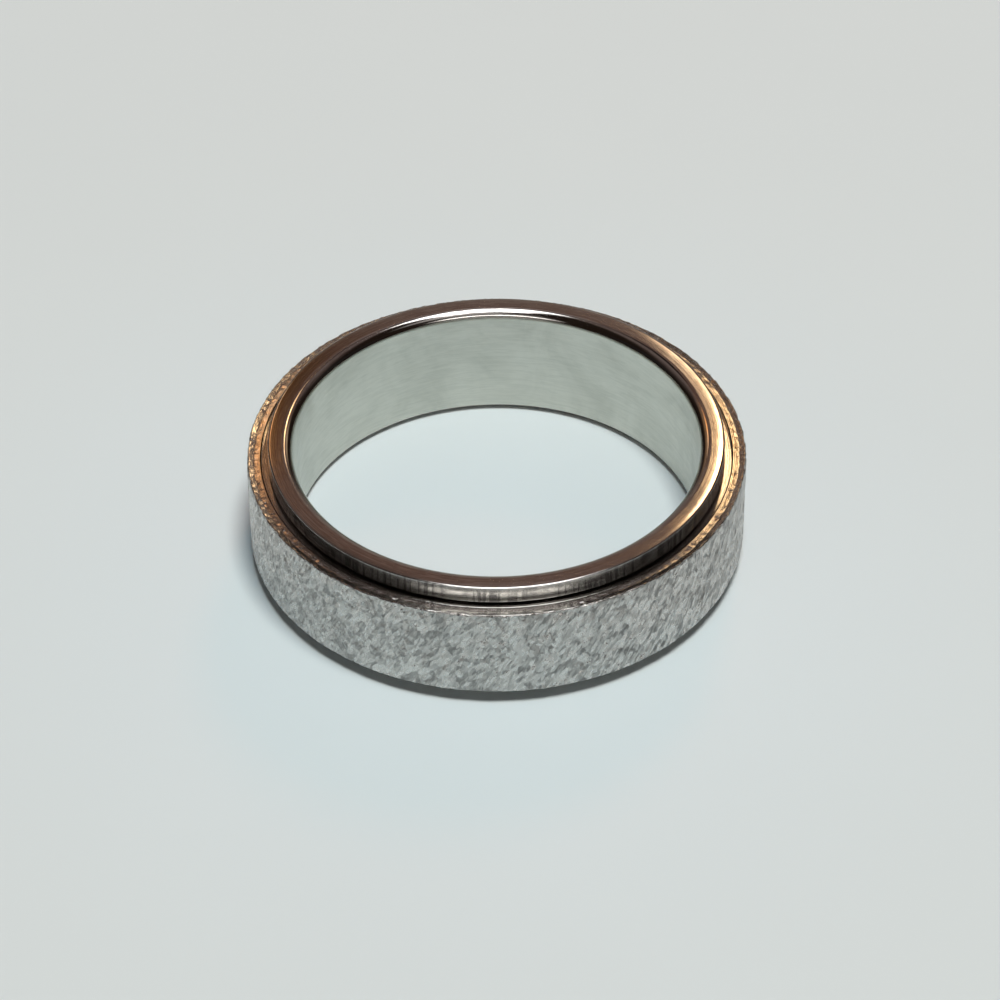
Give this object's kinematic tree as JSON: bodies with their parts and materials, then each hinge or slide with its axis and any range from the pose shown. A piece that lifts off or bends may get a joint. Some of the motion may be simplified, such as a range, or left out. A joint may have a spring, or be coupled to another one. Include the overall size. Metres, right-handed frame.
{
  "type": "spinner ring",
  "caption": "Plain steel finger ring with a free outer band that spins in a channel between two polished rims. The spinning band has a coarse frosted outside.",
  "frame": {"origin": "centre of the ring on the plane of the lower rim's flat, which it rests on", "axes": "+Z along the ring's axis, up from the surface that it lies on"},
  "size_m": [0.0232, 0.0232, 0.006],
  "materials": {
    "polished_steel": "bare stainless steel, polished rims and a satin bore",
    "frosted_steel": "bare stainless steel, short random cuts all over the outside, plain polished edge faces"
  },
  "bodies": {
    "base": {"base_band": "polished_steel"},
    "spinner": {"spinner_band": "frosted_steel"}
  },
  "joints": [
    {"name": "spinner_turn", "type": "hinge", "parent": "base", "child": "spinner", "pos_m": [0, 0, 0.003], "axis": [0, 0, 1], "continuous": true}
  ]
}
